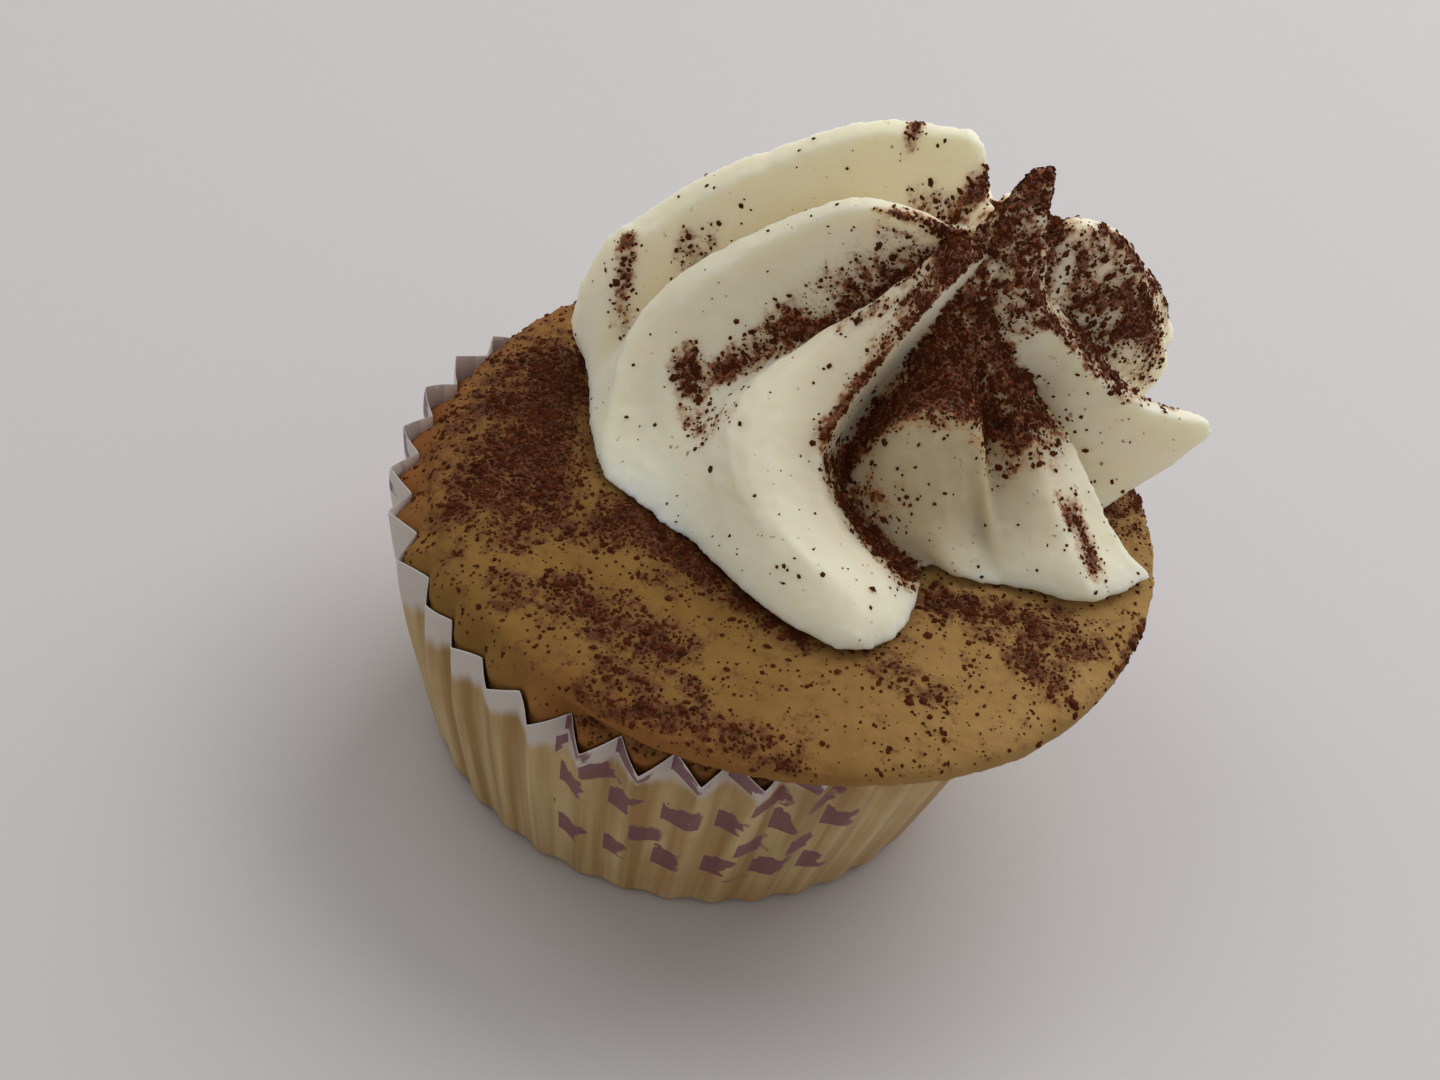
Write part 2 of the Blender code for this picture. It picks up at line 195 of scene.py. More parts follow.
# the sheet's own measure, for the print: along the wall from the middle of a printed field, and up it
sheet = paper.data.uv_layers.new(name="sheet")
for face in paper.data.polygons:
    corners = [(i, paper.data.vertices[paper.data.loops[i].vertex_index].co) for i in face.loop_indices]
    turns = [math.atan2(place.y, place.x) for i, place in corners]
    for (i, place), turn in zip(corners, turns):
        if max(turns) - min(turns) > math.pi and turn < 0:
            turn += math.tau
        sheet.data[i].uv = ((turn - PRINT_MIDDLE) * CASE_RIM, place.z)
for vertex in paper.data.vertices:
    vertex.co = pleated(vertex.co)

# the floor of the cup, from its wall inwards
bpy.ops.object.mode_set(mode="EDIT")
bpy.ops.mesh.select_all(action="DESELECT")
bpy.ops.object.mode_set(mode="OBJECT")
lowest = {v.index for v in paper.data.vertices if v.co.z < 0.05 * MM}
for edge in paper.data.edges:
    edge.select = set(edge.vertices) <= lowest
bpy.ops.object.mode_set(mode="EDIT")
bpy.ops.mesh.select_mode(type="EDGE")
for share in (0.93, 0.6):
    bpy.ops.mesh.extrude_region_move(TRANSFORM_OT_translate={"value": (0, 0, 0)})
    bpy.ops.transform.resize(value=(share, share, 1), center_override=(0, 0, 0))
bpy.ops.mesh.merge(type="COLLAPSE")
bpy.ops.mesh.select_all(action="SELECT")
bpy.ops.mesh.normals_make_consistent(inside=False)
bpy.ops.object.mode_set(mode="OBJECT")

thickness = paper.modifiers.new("thickness", "SOLIDIFY")
thickness.thickness = PAPER_THICK
thickness.offset = -1
thickness.material_offset = 1
thickness.material_offset_rim = 1
paper.data.materials.append(None)
paper.data.materials.append(None)
bpy.ops.object.modifier_apply(modifier="thickness")

# the folds are soft at the foot of the wall and grow crisp towards the rim
crease = paper.data.attributes.new("crease_edge", "FLOAT", "EDGE")
for edge in paper.data.edges:
    ends = [paper.data.vertices[i].co for i in edge.vertices]
    halves = [math.atan2(end.y, end.x) / math.tau * PLEATS * 2 for end in ends]
    if abs(halves[0] - halves[1]) < 0.1 and abs(halves[0] - round(halves[0])) < 0.1:
        crease.data[edge.index].value = 0.85 * min(1, max(ends[0].z, ends[1].z) / CASE_HEIGHT) ** 3
soft = paper.modifiers.new("soft_folds", "SUBSURF")
soft.levels = soft.render_levels = 2
bpy.ops.object.modifier_apply(modifier="soft_folds")
bpy.ops.object.shade_smooth_by_angle(angle=math.radians(40))

SQUARE_ALONG = 5.6 * MM
SQUARE_UP = 4.2 * MM
LOWEST_SQUARE = 6.7 * MM
SQUARE_WIDE = 0.56
SQUARE_TALL = 0.72
FIELD_SHARE = 0.245


def greaseproof(name, pale, dry_from, dry_slope, ink):
    """Greaseproof paper, dry above dry_from, which rises by dry_slope for each metre to the right."""
    material, tree = new_material(name)
    place = add(tree, "ShaderNodeTexCoord")
    apart = add(tree, "ShaderNodeSeparateXYZ", {0: place.outputs["UV"]})
    along, up = apart.outputs["X"], apart.outputs["Y"]
    across = add(tree, "ShaderNodeSeparateXYZ", {0: place.outputs["Object"]})
    narrow = add(tree, "ShaderNodeMapping", {"Vector": place.outputs["UV"], "Scale": (420, 20, 1)})
    streaks = add(tree, "ShaderNodeTexNoise", {"Vector": narrow.outputs[0], "Scale": 1.0, "Detail": 3.0})
    cloud = add(tree, "ShaderNodeTexNoise", {"Vector": place.outputs["Object"], "Scale": 120.0, "Detail": 4.0})
    # where butter has soaked in, with an uneven upper edge
    edge = add(tree, "ShaderNodeMath", {0: streaks.outputs["Fac"], 1: 5 * MM, 2: up}, operation="MULTIPLY_ADD")
    edge = add(tree, "ShaderNodeMath", {0: across.outputs["X"], 1: -dry_slope, 2: edge.outputs[0]},
               operation="MULTIPLY_ADD")
    dry = add(tree, "ShaderNodeMapRange", {"Value": edge.outputs[0], "From Min": dry_from + 1.5 * MM,
                                           "From Max": dry_from + 4 * MM}, interpolation_type="SMOOTHSTEP")
    lines = add(tree, "ShaderNodeMapRange", {"Value": streaks.outputs["Fac"], "From Min": 0.38,
                                             "From Max": 0.62})
    golden = add(tree, "ShaderNodeMix", {0: lines.outputs[0], 6: linear("#a07c45"), 7: linear("#ceb37f")},
                 data_type="RGBA")
    patchy = add(tree, "ShaderNodeMapRange", {"Value": cloud.outputs["Fac"], "From Min": 0.42, "From Max": 0.7,
                                              "To Max": 0.6})
    toasted = add(tree, "ShaderNodeMix", {0: patchy.outputs[0], 6: golden.outputs[2], 7: linear("#b07f49")},
                  data_type="RGBA")
    tone = add(tree, "ShaderNodeMix", {0: dry.outputs[0], 6: toasted.outputs[2], 7: linear(pale)},
               data_type="RGBA")
    # the print: rows of mauve squares, every other row set over by half, unevenly inked
    bleed = add(tree, "ShaderNodeTexNoise", {"Vector": place.outputs["Object"], "Scale": 450.0, "Detail": 3.0})
    ragged = add(tree, "ShaderNodeMath", {0: bleed.outputs["Fac"], 1: 1.2, 2: -0.6}, operation="MULTIPLY_ADD")
    rows = add(tree, "ShaderNodeMath", {0: up, 1: 1 / SQUARE_UP, 2: 1 - LOWEST_SQUARE / SQUARE_UP},
               operation="MULTIPLY_ADD")
    row = add(tree, "ShaderNodeMath", {0: rows.outputs[0]}, operation="FLOOR")
    other_row = add(tree, "ShaderNodeMath", {0: row.outputs[0], 1: 2.0}, operation="MODULO")
    columns = add(tree, "ShaderNodeMath", {0: along, 1: SQUARE_ALONG}, operation="DIVIDE")
    columns = add(tree, "ShaderNodeMath", {0: row.outputs[0], 1: 0.5, 2: columns.outputs[0]},
                  operation="MULTIPLY_ADD")
    column = add(tree, "ShaderNodeMath", {0: columns.outputs[0]}, operation="FLOOR")
    cell = add(tree, "ShaderNodeCombineXYZ", {0: column.outputs[0], 1: row.outputs[0]})
    luck = add(tree, "ShaderNodeTexWhiteNoise", {"Vector": cell.outputs[0]}, noise_dimensions="2D")
    paler = add(tree, "ShaderNodeMath", {0: other_row.outputs[0], 1: 0.6, 2: luck.outputs["Value"]},
                operation="MULTIPLY_ADD")
    inked = add(tree, "ShaderNodeMapRange", {"Value": paler.outputs[0], "From Min": 0.35, "From Max": 1.1,
                                             "To Min": 0.0, "To Max": ink})
    for value, share in ((rows, SQUARE_TALL), (columns, SQUARE_WIDE)):
        inside = add(tree, "ShaderNodeMath", {0: value.outputs[0]}, operation="FRACT")
        limit = add(tree, "ShaderNodeMath", {0: ragged.outputs[0], 1: share}, operation="ADD")
        short = add(tree, "ShaderNodeMapRange", {"Value": inside.outputs[0], "From Min": limit.outputs[0],
                                                 "From Max": 0.0, "To Max": 9.0})
        inked = add(tree, "ShaderNodeMath", {0: inked.outputs[0], 1: short.outputs[0]}, operation="MULTIPLY")
        inked = add(tree, "ShaderNodeMath", {0: inked.outputs[0], 1: ink}, operation="MINIMUM")
    # a printed field: three round the cup, each about 33 mm wide
    repeats = add(tree, "ShaderNodeMath", {0: along, 1: 1 / PRINT_REPEAT, 2: 0.5}, operation="MULTIPLY_ADD")
    in_field = add(tree, "ShaderNodeMath", {0: repeats.outputs[0]}, operation="FRACT")
    off = add(tree, "ShaderNodeMath", {0: in_field.outputs[0], 1: 0.5}, operation="SUBTRACT")
    off = add(tree, "ShaderNodeMath", {0: off.outputs[0]}, operation="ABSOLUTE")
    for value, limit, kind in ((off.outputs[0], FIELD_SHARE, "LESS_THAN"), (up, 5.5 * MM, "GREATER_THAN")):
        kept = add(tree, "ShaderNodeMath", {0: value, 1: limit}, operation=kind)
        inked = add(tree, "ShaderNodeMath", {0: inked.outputs[0], 1: kept.outputs[0]}, operation="MULTIPLY")
    printed = add(tree, "ShaderNodeMix", {0: inked.outputs[0], 6: tone.outputs[2], 7: linear("#753b4f")},
                  data_type="RGBA")
    fibres = add(tree, "ShaderNodeTexNoise", {"Vector": place.outputs["Object"], "Scale": 1400.0,
                                              "Detail": 3.0})
    relief = add(tree, "ShaderNodeBump", {"Height": fibres.outputs["Fac"], "Strength": 0.25,
                                          "Distance": 0.1 * MM})
    shader = add(tree, "ShaderNodeBsdfPrincipled", {"Base Color": printed.outputs[2], "Roughness": 0.45,
                                                    "IOR": 1.5, "Normal": relief.outputs[0]})
    add(tree, "ShaderNodeOutputMaterial", {"Surface": shader.outputs[0]})
    return material


paper.data.materials[0] = greaseproof("greaseproof_outside", "#d2c8bf", 22.5 * MM, 0.1, 0.85)
# inside, the pale above the dry line is the dry paper's own colour made lighter: painted light for daylight
# shining through the thin paper
paper.data.materials[1] = greaseproof("greaseproof_inside", "#ece6e2", 20.5 * MM, 0.0, 0.3)
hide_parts("paper_case")
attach(paper, "root")


# ---- Sponge -----------------------------------------------------------------------------------
# A baked vanilla sponge, poured as batter, so it fills the pleats of the cup, and risen over the rim on
# one side. The top is a thin golden skin with fine pits, browned along the edge at the back and front.
# Cocoa powder that missed the cream lies on it.

CRUMB = 0.5 * MM
BATTER_TO = 24.5 * MM
NECK = 27.6 * MM
PAPER_GAP = 0.15 * MM

# Each fall of cocoa: from and to in plan (mm), half its width (mm), and how thickly it lies, 0 to 1
ON_SPONGE = (
    (-21, -6, -20, 12, 5.5, 0.95),
    (-26, 0, -25, 7, 3.0, 0.6),
    (-25, -9, -10, -9, 2.4, 0.75),
    (-10, -6.5, 0, -12.5, 2.0, 1.0),
    (0, -12.5, 9, -18.5, 1.4, 0.8),
    (-6, -14, -4, -15, 1.3, 0.5),
    (-19, -12.5, -18.5, -13.5, 1.0, 0.6),
    (-24, -13.5, -24, -14, 0.8, 0.6),
    (-18.5, -17.5, -18.5, -19, 1.6, 0.75),
    (-13, -18.5, -3, -22.5, 2.8, 0.75),
    (-8, -26, -4, -28, 1.8, 0.6),
    (0, -26.5, 1, -27.5, 1.2, 0.6),
    (-10, -29.5, 10, -31.5, 1.6, 0.62),
    (16, -18.5, 22, -21, 2.0, 0.5),
    (20.5, -9.5, 23.5, -9.5, 1.9, 0.95),
    (25, -9.5, 34, -9.5, 3.0, 0.65),
    (30, -13, 31.5, -15, 2.2, 0.8),
    (39, -11.5, 40.6, -4, 0.8, 0.8),
    (36.5, 9, 38.5, 14, 2.2, 0.7),
    (-14, 26, 2, 33, 3.0, 0.5),
    (24, 32, 34, 24, 2.6, 0.5),
)


def fine_copy(node, name, voxel, smoothing):
    """A copy of a solid with an even net of small faces, its facets smoothed away."""
    bpy.ops.object.select_all(action="DESELECT")
    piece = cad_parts[node].copy()
    piece.data = piece.data.copy()
    piece.name = piece.data.name = name
    piece.parent = None
    bpy.context.scene.collection.objects.link(piece)
    piece.select_set(True)
    bpy.context.view_layer.objects.active = piece
    piece.data.materials.clear()
    for key in [key for key in piece.keys() if key.startswith("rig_")]:
        del piece[key]
    bpy.ops.object.mode_set(mode="EDIT")
    bpy.ops.mesh.select_all(action="SELECT")
    bpy.ops.mesh.remove_doubles(threshold=0.001 * MM)
    bpy.ops.object.mode_set(mode="OBJECT")
    net = piece.modifiers.new("net", "REMESH")
    net.mode = "VOXEL"
    net.voxel_size = voxel
    bpy.ops.object.modifier_apply(modifier="net")
    even = piece.modifiers.new("even", "SMOOTH")
    even.factor = 0.5
    even.iterations = smoothing
    bpy.ops.object.modifier_apply(modifier="even")
    return piece


def rough(piece, name, size, height, group=""):
    """Raises and lowers the surface by a noise of the given grain, all in metres."""
    grain = bpy.data.textures.new(name, "CLOUDS")
    grain.noise_scale = size
    grain.noise_depth = 2
    push = piece.modifiers.new(name, "DISPLACE")
    push.texture = grain
    push.texture_coords = "LOCAL"
    push.strength = height
    push.mid_level = 0.5
    push.vertex_group = group
    bpy.ops.object.modifier_apply(modifier=name)


def weigh(piece, name, shares):
    """Makes a vertex group of the given shares, in steps of a twentieth."""
    group = piece.vertex_groups.new(name=name)
    steps = np.round(np.clip(shares, 0, 1) * 20).astype(int)
    for step in range(1, 21):
        group.add(np.flatnonzero(steps == step).tolist(), step / 20, "REPLACE")


def lay_cocoa(piece, falls, everywhere):
    """Writes how thickly cocoa lies at each point, 0 to 1, as the attribute cocoa, and raises it a little."""
    count = len(piece.data.vertices)
    places = np.empty(count * 3)
    piece.data.vertices.foreach_get("co", places)
    places = places.reshape(-1, 3) / MM
    facing = np.empty(count * 3)
    piece.data.vertex_normals.foreach_get("vector", facing)
    upwards = np.clip(facing.reshape(-1, 3)[:, 2] * 1.3 + 0.2, 0, 1)
    thick = np.full(count, everywhere)
    for x, y, end_x, end_y, width, strength in falls:
        start, way = np.array((x, y)), np.array((end_x - x, end_y - y))
        share = np.clip((places[:, :2] - start) @ way / (way @ way), 0, 1)
        away = np.linalg.norm(places[:, :2] - start - share[:, None] * way, axis=1) / width
        thick = np.maximum(thick, strength * np.exp(-(away**2) * 0.7))
    drift = np.array([noise.noise(Vector(p) / 2.4) for p in places])
    thick = np.clip(thick * (1 + 0.7 * drift) * upwards, 0, 1)
    layer = piece.data.attributes.new("cocoa", "FLOAT", "POINT")
    layer.data.foreach_set("value", thick.astype(np.float32))
    weigh(piece, "dusted", thick)
    rough(piece, "dust_clumps", 1.1 * MM, 0.45 * MM, "dusted")


def cocoa_film(tree, place, ground, stain, powder, most):
    """Colours the ground where cocoa lies: a damp stain, and clumps of powder that hide most of it."""
    thick = add(tree, "ShaderNodeAttribute", attribute_name="cocoa").outputs["Fac"]
    clumps = add(tree, "ShaderNodeTexNoise", {"Vector": place, "Scale": 1 / (1.3 * MM), "Detail": 2.0})
    fine = add(tree, "ShaderNodeTexNoise", {"Vector": place, "Scale": 1 / (0.45 * MM), "Detail": 2.0})
    grain = add(tree, "ShaderNodeMath", {0: fine.outputs["Fac"], 1: 0.6, 2: clumps.outputs["Fac"]},
                operation="MULTIPLY_ADD")
    level = add(tree, "ShaderNodeMath", {0: thick, 1: 0.5, 2: grain.outputs[0]}, operation="MULTIPLY_ADD")
    haze = add(tree, "ShaderNodeMapRange", {"Value": thick, "From Min": 0.04, "From Max": 0.6,
                                            "To Max": 0.35})
    damp = add(tree, "ShaderNodeMapRange", {"Value": level.outputs[0], "From Min": 0.84, "From Max": 1.1,
                                            "To Min": haze.outputs[0], "To Max": 0.75})
    nearby = add(tree, "ShaderNodeMapRange", {"Value": thick, "From Min": 0.06, "From Max": 0.25})
    damp = add(tree, "ShaderNodeMath", {0: damp.outputs[0], 1: nearby.outputs[0]}, operation="MULTIPLY")
    damp = add(tree, "ShaderNodeMath", {0: damp.outputs[0], 1: haze.outputs[0]}, operation="MAXIMUM")
    stained = add(tree, "ShaderNodeMix", {0: damp.outputs[0], 6: ground, 7: linear(stain)}, data_type="RGBA")
    dark, light = powder
    brown = add(tree, "ShaderNodeMapRange", {"Value": fine.outputs["Fac"], "From Min": 0.35, "From Max": 0.65})
    heap = add(tree, "ShaderNodeMix", {0: brown.outputs[0], 6: linear(dark), 7: linear(light)},
               data_type="RGBA")
    cover = add(tree, "ShaderNodeMapRange", {"Value": level.outputs[0], "From Min": 1.06, "From Max": 1.18,
                                             "To Max": most})
    dusted = add(tree, "ShaderNodeMix", {0: cover.outputs[0], 6: stained.outputs[2], 7: heap.outputs[2]},
                 data_type="RGBA")
    return dusted.outputs[2], cover.outputs[0]


sponge = fine_copy("cake", "sponge_cake", CRUMB, 8)
for vertex in sponge.data.vertices:
    x, y, z = vertex.co
    radius, turn = math.hypot(x, y), math.atan2(y, x)
    wall = wall_radius(turn, min(z, CASE_HEIGHT), 0.6) - PAPER_THICK - PAPER_GAP
    neck = NECK + 1.4 * MM * near(turn, SPILLED)
    if 1.2 * MM < z < neck and wall - 4 * MM < radius < wall:
        filled = min(1, (neck - z) / (NECK - BATTER_TO))
        radius += (wall - radius) * filled**2 * (3 - 2 * filled)
        vertex.co = (radius * math.cos(turn), radius * math.sin(turn), z)
rough(sponge, "swell", 9 * MM, 0.5 * MM)
rough(sponge, "crumb", 1.1 * MM, 0.3 * MM)
lay_cocoa(sponge, ON_SPONGE, 0.15)
bpy.ops.object.shade_smooth()

baked, tree = new_material("baked_sponge")
place = add(tree, "ShaderNodeTexCoord").outputs["Object"]
broad = add(tree, "ShaderNodeTexNoise", {"Vector": place, "Scale": 1 / (6 * MM), "Detail": 4.0})
side = add(tree, "ShaderNodeSeparateXYZ", {0: place})
paler = add(tree, "ShaderNodeMapRange", {"Value": side.outputs["X"], "From Min": 4 * MM, "From Max": 30 * MM})
shallow = add(tree, "ShaderNodeMix", {0: paler.outputs[0], 6: linear("#76531f"), 7: linear("#916c36")},
              data_type="RGBA")
high = add(tree, "ShaderNodeMix", {0: paler.outputs[0], 6: linear("#9c773c"), 7: linear("#b8935a")},
           data_type="RGBA")
golden = add(tree, "ShaderNodeMix", {0: broad.outputs["Fac"], 6: shallow.outputs[2], 7: high.outputs[2]},
             data_type="RGBA")
# the edge of the top is browner where it stood nearest the wall of the oven
outwards = add(tree, "ShaderNodeVectorMath", {0: place, 1: (4 * MM, 1 * MM, 30 * MM)}, operation="DISTANCE")
edge = add(tree, "ShaderNodeMath", {0: broad.outputs["Fac"], 1: 4 * MM, 2: outwards.outputs["Value"]},
           operation="MULTIPLY_ADD")
browned = add(tree, "ShaderNodeMapRange", {"Value": edge.outputs[0], "From Min": 31.5 * MM,
                                           "From Max": 36 * MM, "To Max": 0.85})
left = add(tree, "ShaderNodeMapRange", {"Value": side.outputs["X"], "From Min": 16 * MM, "From Max": -4 * MM})
browned = add(tree, "ShaderNodeMath", {0: browned.outputs[0], 1: left.outputs[0]}, operation="MULTIPLY")
spill = add(tree, "ShaderNodeVectorMath", {0: place, 1: (-23 * MM, -20 * MM, 27 * MM)}, operation="DISTANCE")
thin = add(tree, "ShaderNodeMapRange", {"Value": spill.outputs["Value"], "From Min": 7 * MM, "From Max": 17 * MM,
                                        "To Min": 0.1})
browned = add(tree, "ShaderNodeMath", {0: browned.outputs[0], 1: thin.outputs[0]}, operation="MULTIPLY")
crust = add(tree, "ShaderNodeMix", {0: browned.outputs[0], 6: golden.outputs[2], 7: linear("#935a2b")},
            data_type="RGBA")
dusted, cover = cocoa_film(tree, place, crust.outputs[2], "#664022", ("#2f130a", "#6d3d22"), 0.85)
pits = add(tree, "ShaderNodeTexNoise", {"Vector": place, "Scale": 1 / (0.7 * MM), "Detail": 3.0})
relief = add(tree, "ShaderNodeBump", {"Height": pits.outputs["Fac"], "Strength": 0.7, "Distance": 0.15 * MM})
shader = add(tree, "ShaderNodeBsdfPrincipled", {"Base Color": dusted, "Roughness": 0.85, "IOR": 1.45,
                                                "Specular IOR Level": 0.25, "Normal": relief.outputs[0]})
add(tree, "ShaderNodeOutputMaterial", {"Surface": shader.outputs[0]})
sponge.data.materials.append(baked)
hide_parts("cake")
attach(sponge, "root")


# ---- Whipped cream ----------------------------------------------------------------------------
# Sweet cream piped through a large open star nozzle in one pull, leaning to the right. The teeth leave
# ridges with a crisp edge, and the overbeaten cream tears into small curds along them. Cocoa shaken from
# a sieve lies where it fell: thick in the valleys by the peak, and hardly at all on steep sides.

CREAM_NET = 0.35 * MM

ON_CREAM = (
    # the valley behind the front ridge on the left, and down it
    (15, 12.3, 6, 11.2, 1.0, 1.4),
    (6, 11.2, 0, 9.5, 1.0, 1.2),
    (0, 9.5, -4, 7.2, 0.8, 0.85),
    (-7.4, 6.8, -6, 5.6, 1.1, 1.0),
    (-6, 4, -3, 0, 1.2, 0.42),
    # the front ridge's left side
    (6.5, 7.5, 9.7, 7.7, 1.0, 0.5),
    (11, 9.5, 13.5, 7.5, 1.0, 0.55),
    # the hollow under the peak, and the valleys that leave it
    (16, 7, 24, 7, 3.2, 1.8),
    (12.5, 3.2, 20, 3.2, 2.3, 1.5),
    (13, 0.8, 17, 0.2, 0.8, 0.6),
    (15.5, 6, 9.5, 0.8, 1.1, 1.8),
    (22.5, 5, 22, 2.5, 1.0, 1.0),
    (24, 8, 24.4, 5.5, 1.2, 1.3),
    (9.7, 0.5, 7.4, -2.5, 1.1, 1.4),
    (7.4, -2.5, 10, -4.5, 1.0, 1.2),
    (11, -3.5, 17, -8, 1.7, 1.1),
    (11.5, -7, 14, -8.5, 1.0, 0.5),
    # the ridges on the right
    (30.5, 1, 34.5, -2.5, 1.1, 0.7),
    (33.5, -1, 34.6, -3, 0.7, 0.95),
    (27, 14.5, 35.5, 18, 1.3, 1.45),
    (28, 17.5, 35, 20.4, 0.8, 0.9),
    (22.5, 17, 24.5, 20.5, 1.6, 1.6),
    (27.5, 12.5, 28, 12.7, 1.0, 0.95),
    (29.5, 11.5, 33, 11.4, 1.5, 1.2),
    (36, 12, 38.6, 13, 0.9, 0.4),
    (22, 11, 26, 11, 1.6, 0.45),
    (20, 11, 23, 9.5, 1.2, 0.55),
    # round the peak and along the back ridge
    (17, 11, 20, 13, 2.2, 1.3),
    (20.5, 14, 21.5, 15, 2.6, 2.2),
    (17.6, 20, 14.5, 17, 0.9, 0.95),
    (10, 18.4, 15, 17, 0.7, 0.5),
    (-10.5, 16.6, -7.5, 16.9, 0.6, 0.6),
    (-15.5, 16, -14.5, 13.3, 0.8, 0.75),
    (8.6, 21, 8.8, 22.3, 0.6, 0.7),
    (23, 24, 26, 30, 1.8, 0.7),
    (14, 25, 10, 30, 1.6, 0.6),
    (35, 26, 36.5, 25, 0.9, 0.6),
)


def positions(mesh):
    places = np.empty(len(mesh.vertices) * 3)
    mesh.vertices.foreach_get("co", places)
    return places.reshape(-1, 3)


cream = fine_copy("cream", "piped_cream", CREAM_NET, 3)
sharper = cream.modifiers.new("sharper", "LAPLACIANSMOOTH")
sharper.iterations = 2
sharper.lambda_factor = -1.2
sharper.use_volume_preserve = False
sharper.use_normalized = True
bpy.ops.object.modifier_apply(modifier="sharper")
even = cream.modifiers.new("even", "SMOOTH")
even.iterations = 3
bpy.ops.object.modifier_apply(modifier="even")

# how far each point stands out from the cream round it
rounded = cream.modifiers.new("rounded", "SMOOTH")
rounded.iterations = 12
seen = cream.evaluated_get(bpy.context.evaluated_depsgraph_get())
stands_out = positions(cream.data) - positions(seen.data)
cream.modifiers.remove(rounded)
facing = np.empty(len(cream.data.vertices) * 3)
cream.data.vertex_normals.foreach_get("vector", facing)
stands_out = (stands_out * facing.reshape(-1, 3)).sum(axis=1)
weigh(cream, "crest", stands_out / (0.25 * MM))
rough(cream, "lumps", 4.5 * MM, 0.35 * MM)
rough(cream, "soft_curds", 1.3 * MM, 0.18 * MM)
rough(cream, "torn_crests", 1.1 * MM, 0.7 * MM, "crest")
lay_cocoa(cream, ON_CREAM, 0.035)
bpy.ops.object.shade_smooth()

whipped, tree = new_material("whipped_dairy_cream")
place = add(tree, "ShaderNodeTexCoord").outputs["Object"]
broad = add(tree, "ShaderNodeTexNoise", {"Vector": place, "Scale": 1 / (11 * MM), "Detail": 2.0})
tone = add(tree, "ShaderNodeMix", {0: broad.outputs["Fac"], 6: linear("#f3e9c8"), 7: linear("#f7f0da")},
           data_type="RGBA")
# under the peak the cream is painted darker and duller: painted shade for the hollow it lies in, with cocoa
# worked into it as it was piped
hollow = add(tree, "ShaderNodeVectorMath", {0: place, 1: (17 * MM, 1 * MM, 40 * MM)}, operation="DISTANCE")
shade_and_cocoa_under_peak = add(tree, "ShaderNodeMapRange", {"Value": hollow.outputs["Value"], "From Min": 15 * MM,
                                        "From Max": 6 * MM, "To Max": 0.9})
tone = add(tree, "ShaderNodeMix", {0: shade_and_cocoa_under_peak.outputs[0], 6: tone.outputs[2], 7: linear("#bfae8a")},
           data_type="RGBA")
dusted, cover = cocoa_film(tree, place, tone.outputs[2], "#b5854f", ("#2c0d05", "#8c4722"), 0.94)
curd = add(tree, "ShaderNodeTexNoise", {"Vector": place, "Scale": 1 / (1.1 * MM), "Detail": 3.0})
relief = add(tree, "ShaderNodeBump", {"Height": curd.outputs["Fac"], "Strength": 0.2, "Distance": 0.15 * MM})
through = add(tree, "ShaderNodeMath", {0: cover, 1: -0.9, 2: 0.85}, operation="MULTIPLY_ADD")
shader = add(tree, "ShaderNodeBsdfPrincipled", {"Base Color": dusted, "Roughness": 0.55, "IOR": 1.45,
                                                "Specular IOR Level": 0.35, "Normal": relief.outputs[0],
                                                "Subsurface Weight": through.outputs[0],
                                                "Subsurface Scale": 3 * MM,
                                                "Subsurface Radius": (1.0, 0.85, 0.6)})
add(tree, "ShaderNodeOutputMaterial", {"Surface": shader.outputs[0]})
cream.data.materials.append(whipped)
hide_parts("cream")
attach(cream, "root")


# ---- Cocoa ------------------------------------------------------------------------------------
# The cocoa's loose grains, from single specks of fine dust to small lumps that the sieve let through.
# They lie on the cream and the sponge, as close as the layer under them is thick.

# Each kind of grain: sides round it, size, how many to a square metre where cocoa is thickest, and seed
GRAINS = (
    (4, 0.55 * MM, 10e6, 21),
    (5, 0.95 * MM, 2.2e6, 41),
)

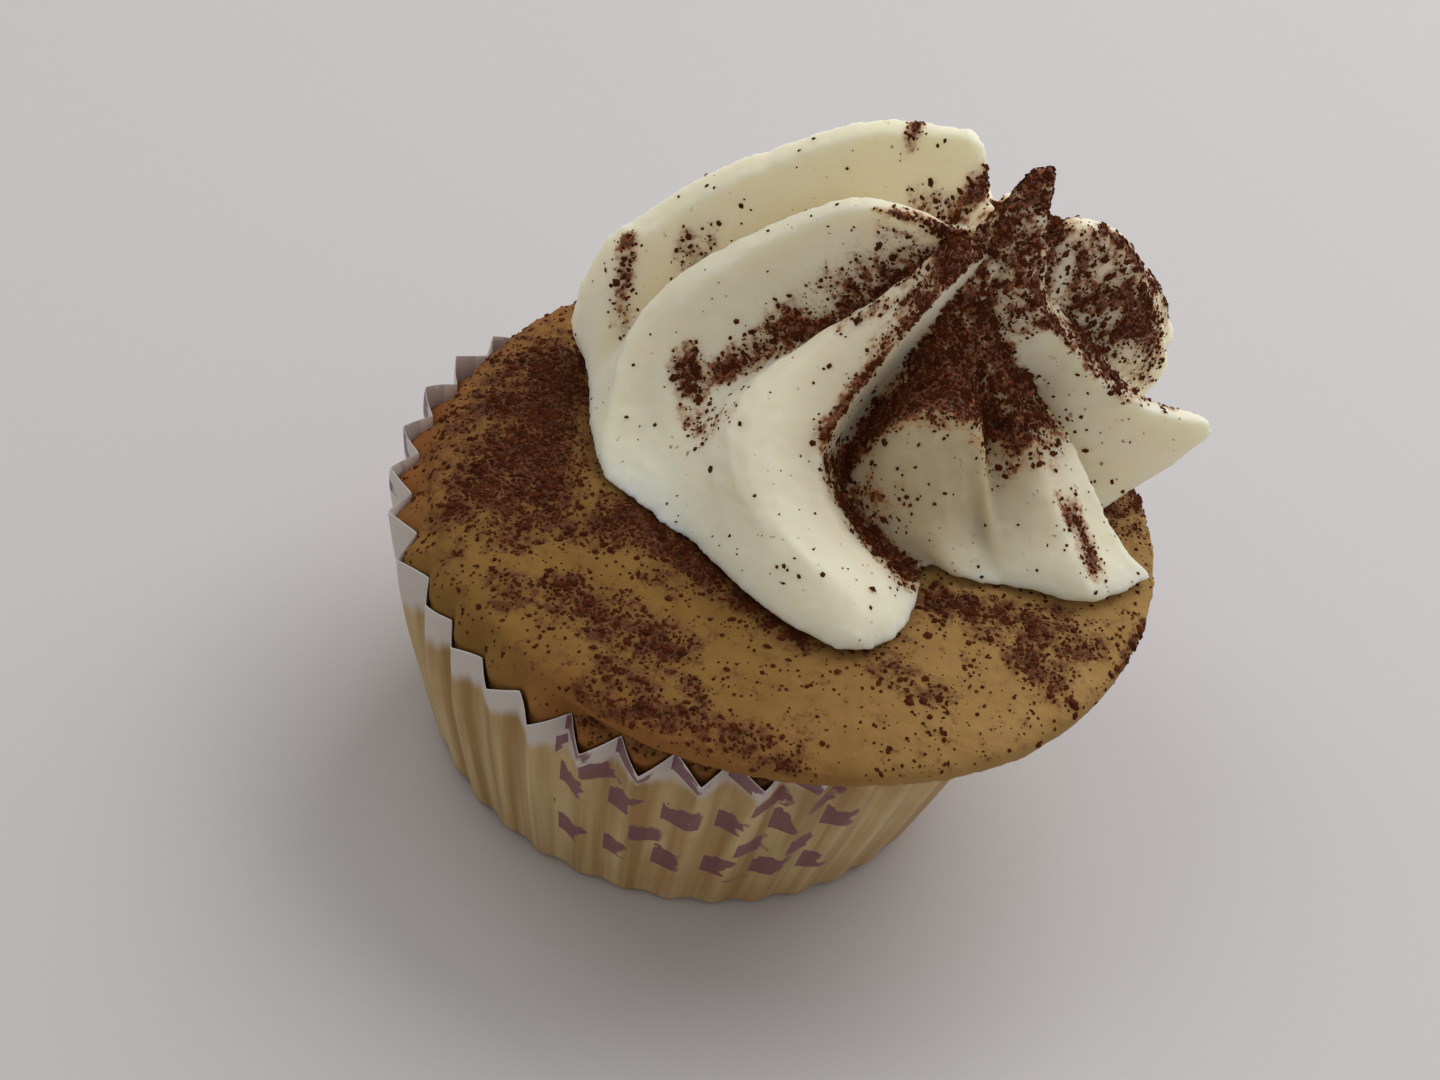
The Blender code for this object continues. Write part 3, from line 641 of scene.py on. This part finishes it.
dust_fall = bpy.data.node_groups.new("dust_fall", "GeometryNodeTree")
dust_fall.interface.new_socket("Geometry", in_out="INPUT", socket_type="NodeSocketGeometry")
dust_fall.interface.new_socket("Geometry", in_out="OUTPUT", socket_type="NodeSocketGeometry")
start = add(dust_fall, "NodeGroupInput")
thick = add(dust_fall, "GeometryNodeInputNamedAttribute", {"Name": "cocoa"}, data_type="FLOAT")
power = add(dust_fall, "ShaderNodeMath", {0: thick.outputs[0], 1: 1.4}, operation="POWER")
both = add(dust_fall, "GeometryNodeJoinGeometry")
for sides, size, spread, seed in GRAINS:
    many = add(dust_fall, "ShaderNodeMath", {0: power.outputs[0], 1: spread}, operation="MULTIPLY")
    points = add(dust_fall, "GeometryNodeDistributePointsOnFaces", {"Mesh": start.outputs[0],
                 "Density": many.outputs[0], "Seed": seed})
    spin = add(dust_fall, "FunctionNodeRandomValue", {0: (-0.6, -0.6, 0.0), 1: (0.6, 0.6, math.tau),
               "Seed": seed + 1}, data_type="FLOAT_VECTOR")
    turned = add(dust_fall, "FunctionNodeRotateRotation", {"Rotation": points.outputs["Rotation"],
                 "Rotate By": spin.outputs[0]}, rotation_space="LOCAL")
    stretch = add(dust_fall, "FunctionNodeRandomValue", {0: (0.55, 0.55, 0.35), 1: (1.15, 1.0, 0.65),
                  "Seed": seed + 2}, data_type="FLOAT_VECTOR")
    luck = add(dust_fall, "FunctionNodeRandomValue", {2: 0.0, 3: 1.0, "Seed": seed + 3}, data_type="FLOAT")
    rare = add(dust_fall, "ShaderNodeMath", {0: luck.outputs[1], 1: 2.2}, operation="POWER")
    large = add(dust_fall, "ShaderNodeMapRange", {"Value": rare.outputs[0], "To Min": 0.5, "To Max": 1.3})
    scale = add(dust_fall, "ShaderNodeVectorMath", {0: stretch.outputs[0], "Scale": large.outputs[0]},
                operation="SCALE")
    grain = add(dust_fall, "GeometryNodeMeshUVSphere", {"Segments": sides, "Rings": sides // 2,
                "Radius": size / 2})
    grains = add(dust_fall, "GeometryNodeInstanceOnPoints", {"Points": points.outputs["Points"],
                 "Instance": grain.outputs["Mesh"], "Rotation": turned.outputs[0],
                 "Scale": scale.outputs[0]})
    dust_fall.links.new(grains.outputs[0], both.inputs[0])
real = add(dust_fall, "GeometryNodeRealizeInstances", {0: both.outputs[0]})
add(dust_fall, "NodeGroupOutput", {0: real.outputs[0]})

bpy.ops.object.select_all(action="DESELECT")
for surface in (sponge, cream):
    surface.select_set(True)
bpy.context.view_layer.objects.active = sponge
bpy.ops.object.duplicate()
bpy.ops.object.join()
cocoa = bpy.context.object
cocoa.name = cocoa.data.name = "cocoa_powder"
for key in [key for key in cocoa.keys() if key.startswith("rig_")]:
    del cocoa[key]
fall = cocoa.modifiers.new("fall", "NODES")
fall.node_group = dust_fall
bpy.ops.object.modifier_apply(modifier="fall")

dry_cocoa, tree = new_material("dry_cocoa")
place = add(tree, "ShaderNodeTexCoord").outputs["Object"]
patches = add(tree, "ShaderNodeTexNoise", {"Vector": place, "Scale": 1 / (1.4 * MM), "Detail": 2.0})
tone = add(tree, "ShaderNodeMix", {0: patches.outputs["Fac"], 6: linear("#1c0804"), 7: linear("#6b3317")},
           data_type="RGBA")
shader = add(tree, "ShaderNodeBsdfPrincipled", {"Base Color": tone.outputs[2], "Roughness": 1.0, "IOR": 1.45,
                                                "Specular IOR Level": 0.15})
add(tree, "ShaderNodeOutputMaterial", {"Surface": shader.outputs[0]})
cocoa.data.materials.clear()
cocoa.data.materials.append(dry_cocoa)
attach(cocoa, "root")
